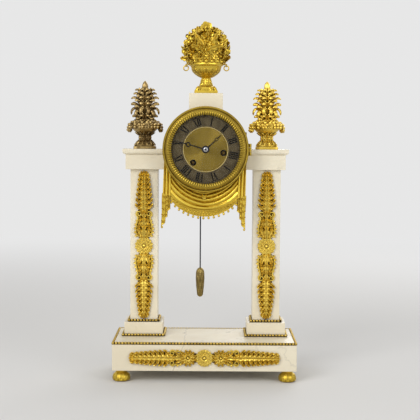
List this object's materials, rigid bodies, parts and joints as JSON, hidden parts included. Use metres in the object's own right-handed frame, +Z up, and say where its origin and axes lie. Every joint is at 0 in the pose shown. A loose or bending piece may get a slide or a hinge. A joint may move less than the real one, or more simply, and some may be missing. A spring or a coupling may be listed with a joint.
{
  "type": "portico clock",
  "caption": "Marble portico clock: square columns on a plinth carry a gilt drum with a glazed dial, drapery, vase and finials, with a wound movement and a hanging pendulum.",
  "frame": {"origin": "bottom centre of the clock, on the floor under the feet", "axes": "+Z up, -Y towards the viewer in front of the dial, +X to the viewer's right"},
  "size_m": [0.253, 0.124, 0.498],
  "materials": {
    "marble": "polished",
    "ormolu": "burnished and matt gilding",
    "movement_brass": "satin",
    "steel": "satin",
    "blued_steel": "blued",
    "silvered_ring": "tarnished silvering",
    "bell_metal": "turned",
    "silk": "matt",
    "dial_glass": "clear"
  },
  "bodies": {
    "case": {"base_plinth": "marble", "left_column_block": "marble", "right_column_block": "marble", "left_column_shaft": "marble", "right_column_shaft": "marble", "left_frieze": "marble", "right_frieze": "marble", "left_cornice": "marble", "right_cornice": "marble", "vase_block": "marble", "feet": "ormolu", "base_bead_trim": "ormolu", "column_bead_trims": "ormolu", "base_mount": "ormolu", "left_column_mount": "ormolu", "right_column_mount": "ormolu", "drapery_swag": "ormolu", "drapery_tails": "ormolu", "vase": "ormolu", "vase_bouquet": "ormolu", "left_finial": "ormolu", "right_finial": "ormolu", "drum_case": "ormolu", "dial_plate": "ormolu", "front_plate": "movement_brass", "back_plate": "movement_brass", "plate_pillars": "movement_brass", "back_cock": "movement_brass", "tie_bolts": "steel", "drum_fasteners": "steel", "chapter_ring": "silvered_ring", "bell": "bell_metal"},
    "bezel": {"bezel": "ormolu", "dial_glass": "dial_glass"},
    "back_door": {"back_door": "ormolu"},
    "centre_arbor": {"centre_wheel": "movement_brass", "cannon_pinion": "steel", "minute_hand": "blued_steel"},
    "hour_pipe": {"hour_wheel": "movement_brass", "hour_hand": "blued_steel"},
    "minute_wheel": {"minute_wheel": "movement_brass"},
    "intermediate_arbor": {"intermediate_wheel": "movement_brass"},
    "going_barrel": {"going_barrel": "movement_brass"},
    "going_winder": {"going_arbor": "steel"},
    "third_arbor": {"third_wheel": "movement_brass"},
    "escape_arbor": {"escape_wheel": "movement_brass"},
    "anchor": {"pallet_anchor": "steel"},
    "pendulum": {"silk_thread": "silk", "pendulum_rod": "steel", "pendulum_bob": "ormolu"},
    "strike_barrel": {"strike_barrel": "movement_brass"},
    "strike_winder": {"strike_arbor": "steel"},
    "pin_arbor": {"pin_wheel": "movement_brass"},
    "locking_arbor": {"locking_wheel": "movement_brass"},
    "fly_arbor": {"fly": "movement_brass"},
    "hammer": {"hammer": "steel"},
    "left_ring": {"left_vase_ring": "ormolu"},
    "right_ring": {"right_vase_ring": "ormolu"}
  },
  "joints": [
    {"name": "bezel_hinge", "type": "hinge", "parent": "case", "child": "bezel", "pos_m": [0.0614, -0.0306, 0.319], "axis": [0, 0, 1], "range_deg": [0, 105]},
    {"name": "back_door_hinge", "type": "hinge", "parent": "case", "child": "back_door", "pos_m": [0.0572, 0.04735, 0.319], "axis": [0, 0, -1], "range_deg": [0, 110]},
    {"name": "minute_hand_turn", "type": "hinge", "parent": "case", "child": "centre_arbor", "pos_m": [0, 0, 0.319], "axis": [0, 1, 0], "continuous": true},
    {"name": "hour_hand_turn", "type": "hinge", "parent": "case", "child": "hour_pipe", "pos_m": [0, 0, 0.319], "axis": [0, 1, 0], "continuous": true},
    {"name": "minute_wheel_turn", "type": "hinge", "parent": "case", "child": "minute_wheel", "pos_m": [-0.00309, 0, 0.32851], "axis": [0, 1, 0], "continuous": true},
    {"name": "intermediate_turn", "type": "hinge", "parent": "case", "child": "intermediate_arbor", "pos_m": [0.00893, 0, 0.3313], "axis": [0, 1, 0], "continuous": true},
    {"name": "going_barrel_turn", "type": "hinge", "parent": "case", "child": "going_barrel", "pos_m": [0.02458, 0, 0.31444], "axis": [0, 1, 0], "continuous": true},
    {"name": "third_turn", "type": "hinge", "parent": "case", "child": "third_arbor", "pos_m": [-0.01215, 0, 0.32158], "axis": [0, 1, 0], "continuous": true},
    {"name": "escape_turn", "type": "hinge", "parent": "case", "child": "escape_arbor", "pos_m": [-0.00803, 0, 0.33178], "axis": [0, 1, 0], "continuous": true},
    {"name": "going_winding", "type": "hinge", "parent": "case", "child": "going_winder", "pos_m": [0.02458, 0, 0.31444], "axis": [0, 1, 0], "continuous": true},
    {"name": "strike_winding", "type": "hinge", "parent": "case", "child": "strike_winder", "pos_m": [-0.01721, 0, 0.30087], "axis": [0, 1, 0], "continuous": true},
    {"name": "pin_wheel_turn", "type": "hinge", "parent": "case", "child": "pin_arbor", "pos_m": [-0.02432, 0, 0.32274], "axis": [0, 1, 0], "continuous": true},
    {"name": "strike_barrel_turn", "type": "hinge", "parent": "case", "child": "strike_barrel", "pos_m": [-0.01721, 0, 0.30087], "axis": [0, 1, 0], "continuous": true},
    {"name": "locking_turn", "type": "hinge", "parent": "case", "child": "locking_arbor", "pos_m": [-0.02207, 0, 0.3333], "axis": [0, 1, 0], "continuous": true},
    {"name": "fly_turn", "type": "hinge", "parent": "case", "child": "fly_arbor", "pos_m": [-0.01798, 0, 0.34132], "axis": [0, 1, 0], "continuous": true},
    {"name": "pendulum_swing", "type": "hinge", "parent": "case", "child": "pendulum", "pos_m": [-0.00711, 0.026, 0.34087], "axis": [0, 1, 0], "range_deg": [-4, 4]},
    {"name": "anchor_rock", "type": "hinge", "parent": "case", "child": "anchor", "pos_m": [-0.00711, 0, 0.34087], "axis": [0, 1, 0], "range_deg": [-4, 4]},
    {"name": "hammer_swing", "type": "hinge", "parent": "case", "child": "hammer", "pos_m": [-0.03644, 0, 0.31305], "axis": [0, 1, 0], "range_deg": [-18, 4]},
    {"name": "left_ring_swing", "type": "hinge", "parent": "case", "child": "left_ring", "pos_m": [-0.0284, 0.008, 0.436], "axis": [1, 0, 0], "range_deg": [-60, 60]},
    {"name": "right_ring_swing", "type": "hinge", "parent": "case", "child": "right_ring", "pos_m": [0.0284, 0.008, 0.436], "axis": [1, 0, 0], "range_deg": [-60, 60]}
  ],
  "couplings": [
    {"joint": "hour_hand_turn", "follows": "minute_hand_turn", "ratio": 0.083333},
    {"joint": "minute_wheel_turn", "follows": "minute_hand_turn", "ratio": -0.33333},
    {"joint": "intermediate_turn", "follows": "minute_hand_turn", "ratio": -0.15152},
    {"joint": "going_barrel_turn", "follows": "minute_hand_turn", "ratio": 0.022727},
    {"joint": "third_turn", "follows": "minute_hand_turn", "ratio": -10.5},
    {"joint": "escape_turn", "follows": "minute_hand_turn", "ratio": 105},
    {"joint": "strike_barrel_turn", "follows": "pin_wheel_turn", "ratio": -0.15},
    {"joint": "locking_turn", "follows": "pin_wheel_turn", "ratio": -9},
    {"joint": "fly_turn", "follows": "pin_wheel_turn", "ratio": 72},
    {"joint": "anchor_rock", "follows": "pendulum_swing", "ratio": 1}
  ]
}
